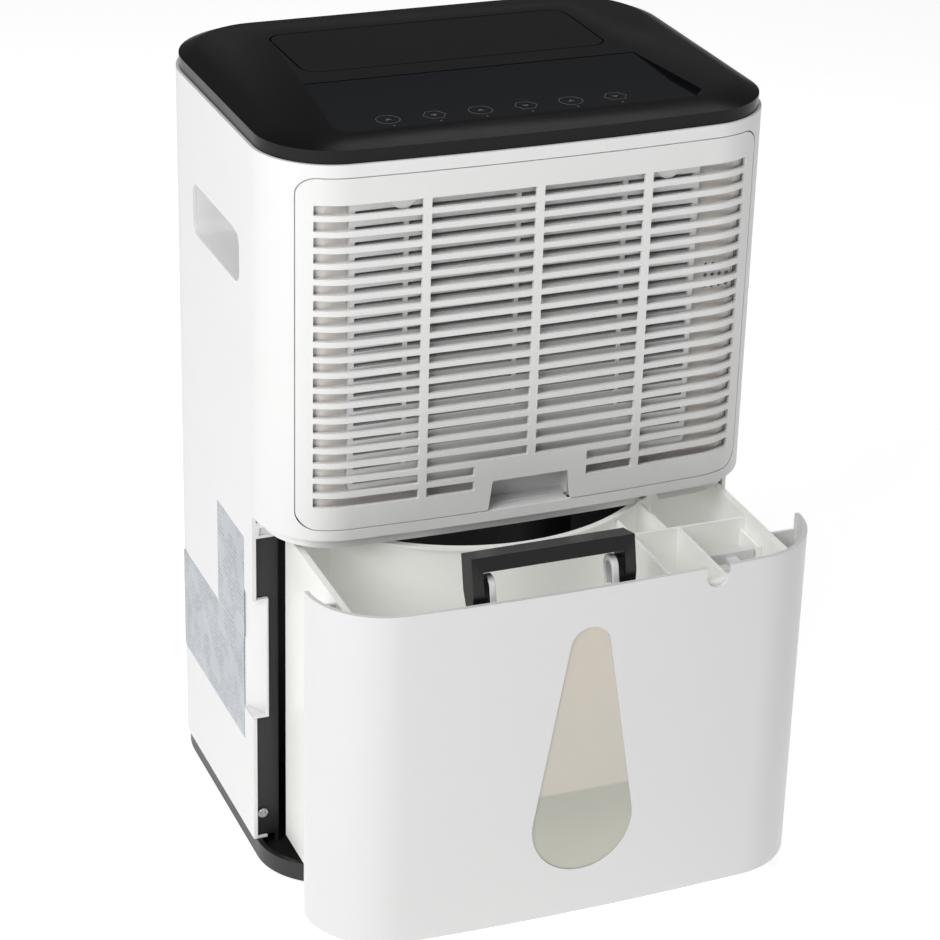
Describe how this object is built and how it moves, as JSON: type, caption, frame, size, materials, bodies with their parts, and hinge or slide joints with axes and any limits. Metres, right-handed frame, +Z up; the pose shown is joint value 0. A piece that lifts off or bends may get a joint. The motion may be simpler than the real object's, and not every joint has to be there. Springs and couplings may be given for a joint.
{
  "type": "dehumidifier",
  "caption": "Portable compressor dehumidifier with a slide-out water tank, folding tank handle, tilting outlet flap and pull-off front grille.",
  "frame": {"origin": "centre of the cabinet's footprint on the floor", "axes": "+Z up, +X to the right seen from the front, front faces -Y"},
  "size_m": [0.3502, 0.382, 0.5396],
  "materials": {
    "tray_black": "satin black moulded ABS",
    "foot_rubber": "soft black rubber",
    "shell_white": "fine-textured white ABS",
    "cover_white": "white ABS",
    "liner_black": "black ABS",
    "top_black": "polished black ABS",
    "panel_black": "gloss black touch panel",
    "icon_grey": "grey print",
    "board_green": "circuit board",
    "motor_metal": "painted steel",
    "scroll_grey": "grey ABS",
    "coil_aluminium": "bare aluminium fins",
    "pipe_copper": "drawn copper tube",
    "frame_beige": "beige ABS",
    "sensor_blue": "sensor housing",
    "compressor_black": "black enamelled steel",
    "mount_rubber": "rubber grommet",
    "capacitor_grey": "grey plastic can",
    "gland_black": "black nylon gland",
    "label_silver": "blank silver sticker",
    "screw_steel": "zinc-plated steel",
    "grille_white": "white ABS",
    "filter_grey": "nylon filter mesh",
    "tank_white": "smooth white ABS",
    "tank_clear": "translucent polypropylene",
    "window_clear": "smoky translucent window",
    "handle_black": "satin black ABS",
    "fan_dark": "dark glass-filled plastic"
  },
  "bodies": {
    "cabinet": {"base_tray": "tray_black", "foot_1": "foot_rubber", "foot_2": "foot_rubber", "foot_3": "foot_rubber", "foot_4": "foot_rubber", "cabinet_shell": "shell_white", "lower_shell": "shell_white", "rear_cover": "cover_white", "bay_liner": "liner_black", "top_cover": "top_black", "control_panel": "panel_black", "touch_icons": "icon_grey", "control_board": "board_green", "outlet_grid": "liner_black", "flap_motor": "capacitor_grey", "fan_scroll": "scroll_grey", "fan_motor": "motor_metal", "evaporator_fins": "coil_aluminium", "evaporator_tubes": "pipe_copper", "condenser_fins": "coil_aluminium", "condenser_tubes": "pipe_copper", "coil_frame": "frame_beige", "sensor_cover": "frame_beige", "humidity_sensor": "sensor_blue", "drip_tray": "frame_beige", "drain_spout": "frame_beige", "compressor": "compressor_black", "compressor_mounts": "mount_rubber", "accumulator": "compressor_black", "suction_pipe": "pipe_copper", "discharge_pipe": "pipe_copper", "capillary_coil": "pipe_copper", "electrics_box": "capacitor_grey", "capacitor": "capacitor_grey", "cord_gland": "gland_black", "label_small": "label_silver", "label_large": "label_silver", "screw_left": "screw_steel", "screw_right": "screw_steel", "carry_grip_left": "cover_white", "carry_grip_right": "cover_white", "finger_recess": "cover_white", "edge_tab_left": "shell_white", "edge_tab_right": "shell_white", "tank_switch": "liner_black"},
    "filter_panel": {"grille_panel": "grille_white", "filter_frame": "frame_beige", "filter_mesh": "filter_grey"},
    "tank": {"tank_front": "tank_white", "tank_body": "tank_clear", "tank_window": "window_clear"},
    "handle": {"tank_handle": "handle_black", "handle_web_left": "tank_white", "handle_web_right": "tank_white"},
    "float": {"tank_float": "tank_white"},
    "flap": {"outlet_flap": "top_black"},
    "fan": {"fan_wheel": "fan_dark"}
  },
  "joints": [
    {"name": "tank_slide", "type": "slide", "parent": "cabinet", "child": "tank", "axis": [0, -1, 0], "range_m": [-0.107, 0.008]},
    {"name": "handle_fold", "type": "hinge", "parent": "tank", "child": "handle", "pos_m": [0, -0.232, 0.246], "axis": [1, 0, 0], "range_deg": [-157.5, 12]},
    {"name": "float_swing", "type": "hinge", "parent": "tank", "child": "float", "pos_m": [0.129, -0.179, 0.236], "axis": [-1, 0, 0], "range_deg": [0, 10]},
    {"name": "flap_tilt", "type": "hinge", "parent": "cabinet", "child": "flap", "pos_m": [0, 0.078, 0.538], "axis": [-1, 0, 0], "range_deg": [0, 70]},
    {"name": "fan_spin", "type": "hinge", "parent": "cabinet", "child": "fan", "pos_m": [0, 0.06, 0.395], "axis": [0, 1, 0], "continuous": true},
    {"name": "grille_slide", "type": "slide", "parent": "cabinet", "child": "filter_panel", "axis": [0, -1, 0], "range_m": [0, 0.025]}
  ],
  "couplings": [
    {"joint": "handle_fold", "follows": "tank_slide", "rad_per_m": 25.66}
  ]
}
